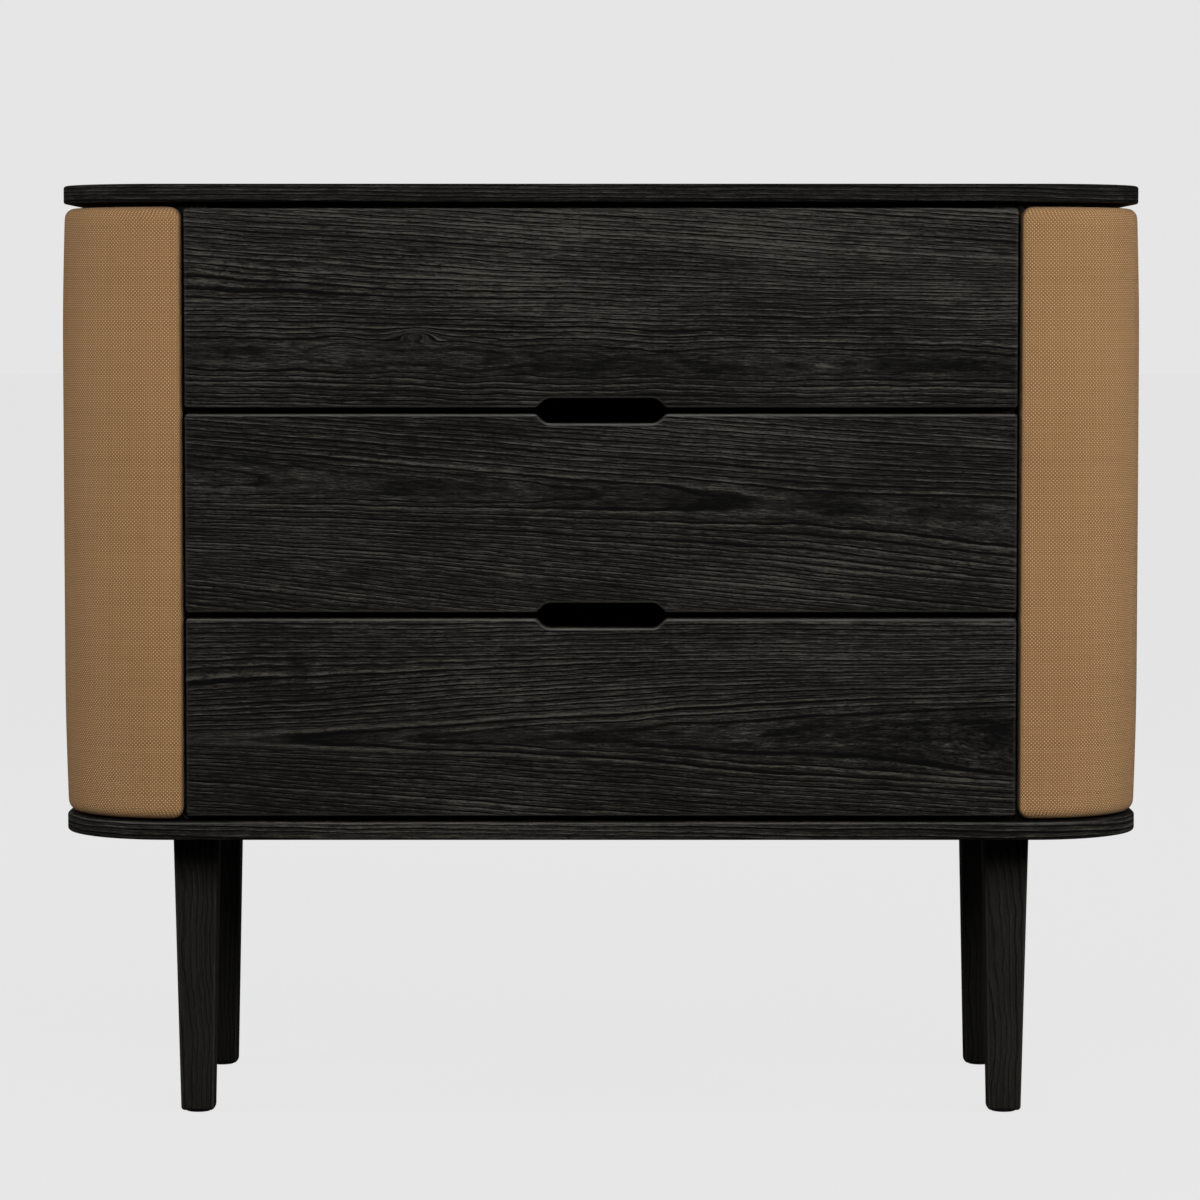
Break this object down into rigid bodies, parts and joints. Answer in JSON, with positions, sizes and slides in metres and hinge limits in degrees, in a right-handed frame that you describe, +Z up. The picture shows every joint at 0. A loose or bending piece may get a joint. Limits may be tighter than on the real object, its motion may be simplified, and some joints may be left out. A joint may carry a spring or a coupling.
{
  "type": "nightstand with drawers",
  "caption": "Wide bedside chest: round-cornered top and bottom boards, flush drawers with shared cut-out finger pulls, fabric-wrapped rounded ends and tapered square legs.",
  "frame": {"origin": "on the floor, under the middle of the chest", "axes": "+X to the viewer's right when facing the drawers, -Y out of the drawer fronts, +Z up"},
  "size_m": [0.75, 0.38, 0.6525],
  "materials": {
    "black_ash": "black-stained open-grain ash, matt lacquer",
    "drawer_box": "black-stained plywood, matt lacquer",
    "upholstery": "tightly woven camel upholstery fabric",
    "foam": "thin upholstery foam",
    "plywood": "raw birch plywood",
    "steel": "zinc-plated steel",
    "nylon": "black nylon"
  },
  "bodies": {
    "carcass": {"top_board": "black_ash", "bottom_board": "black_ash", "back_board": "black_ash", "left_side_board": "black_ash", "right_side_board": "black_ash", "left_wrap_core": "plywood", "left_wrap_foam": "foam", "left_wrap_cover": "upholstery", "left_lower_former": "plywood", "left_upper_former": "plywood", "right_wrap_core": "plywood", "right_wrap_foam": "foam", "right_wrap_cover": "upholstery", "right_lower_former": "plywood", "right_upper_former": "plywood", "front_left_leg": "black_ash", "front_left_leg_stud": "steel", "front_left_glide": "nylon", "front_right_leg": "black_ash", "front_right_leg_stud": "steel", "front_right_glide": "nylon", "rear_left_leg": "black_ash", "rear_left_leg_stud": "steel", "rear_left_glide": "nylon", "rear_right_leg": "black_ash", "rear_right_leg_stud": "steel", "rear_right_glide": "nylon", "bottom_drawer_left_slide_cabinet_member": "steel", "bottom_drawer_right_slide_cabinet_member": "steel", "middle_drawer_left_slide_cabinet_member": "steel", "middle_drawer_right_slide_cabinet_member": "steel", "top_drawer_left_slide_cabinet_member": "steel", "top_drawer_right_slide_cabinet_member": "steel"},
    "bottom_drawer_slide_middle": {"bottom_drawer_left_slide_middle_member": "steel", "bottom_drawer_right_slide_middle_member": "steel"},
    "bottom_drawer": {"bottom_drawer_front": "black_ash", "bottom_drawer_back": "drawer_box", "bottom_drawer_base": "drawer_box", "bottom_drawer_left_side": "drawer_box", "bottom_drawer_left_slide_drawer_member": "steel", "bottom_drawer_right_side": "drawer_box", "bottom_drawer_right_slide_drawer_member": "steel"},
    "middle_drawer_slide_middle": {"middle_drawer_left_slide_middle_member": "steel", "middle_drawer_right_slide_middle_member": "steel"},
    "middle_drawer": {"middle_drawer_front": "black_ash", "middle_drawer_back": "drawer_box", "middle_drawer_base": "drawer_box", "middle_drawer_left_side": "drawer_box", "middle_drawer_left_slide_drawer_member": "steel", "middle_drawer_right_side": "drawer_box", "middle_drawer_right_slide_drawer_member": "steel"},
    "top_drawer_slide_middle": {"top_drawer_left_slide_middle_member": "steel", "top_drawer_right_slide_middle_member": "steel"},
    "top_drawer": {"top_drawer_front": "black_ash", "top_drawer_back": "drawer_box", "top_drawer_base": "drawer_box", "top_drawer_left_side": "drawer_box", "top_drawer_left_slide_drawer_member": "steel", "top_drawer_right_side": "drawer_box", "top_drawer_right_slide_drawer_member": "steel"}
  },
  "joints": [
    {"name": "bottom_drawer_slide", "type": "slide", "parent": "carcass", "child": "bottom_drawer", "axis": [0, -1, 0], "range_m": [0, 0.3]},
    {"name": "bottom_drawer_slide_middle_travel", "type": "slide", "parent": "carcass", "child": "bottom_drawer_slide_middle", "axis": [0, -1, 0], "range_m": [0, 0.15]},
    {"name": "middle_drawer_slide", "type": "slide", "parent": "carcass", "child": "middle_drawer", "axis": [0, -1, 0], "range_m": [0, 0.3]},
    {"name": "middle_drawer_slide_middle_travel", "type": "slide", "parent": "carcass", "child": "middle_drawer_slide_middle", "axis": [0, -1, 0], "range_m": [0, 0.15]},
    {"name": "top_drawer_slide", "type": "slide", "parent": "carcass", "child": "top_drawer", "axis": [0, -1, 0], "range_m": [0, 0.3]},
    {"name": "top_drawer_slide_middle_travel", "type": "slide", "parent": "carcass", "child": "top_drawer_slide_middle", "axis": [0, -1, 0], "range_m": [0, 0.15]}
  ],
  "couplings": [
    {"joint": "bottom_drawer_slide_middle_travel", "follows": "bottom_drawer_slide", "ratio": 0.5},
    {"joint": "middle_drawer_slide_middle_travel", "follows": "middle_drawer_slide", "ratio": 0.5},
    {"joint": "top_drawer_slide_middle_travel", "follows": "top_drawer_slide", "ratio": 0.5}
  ]
}
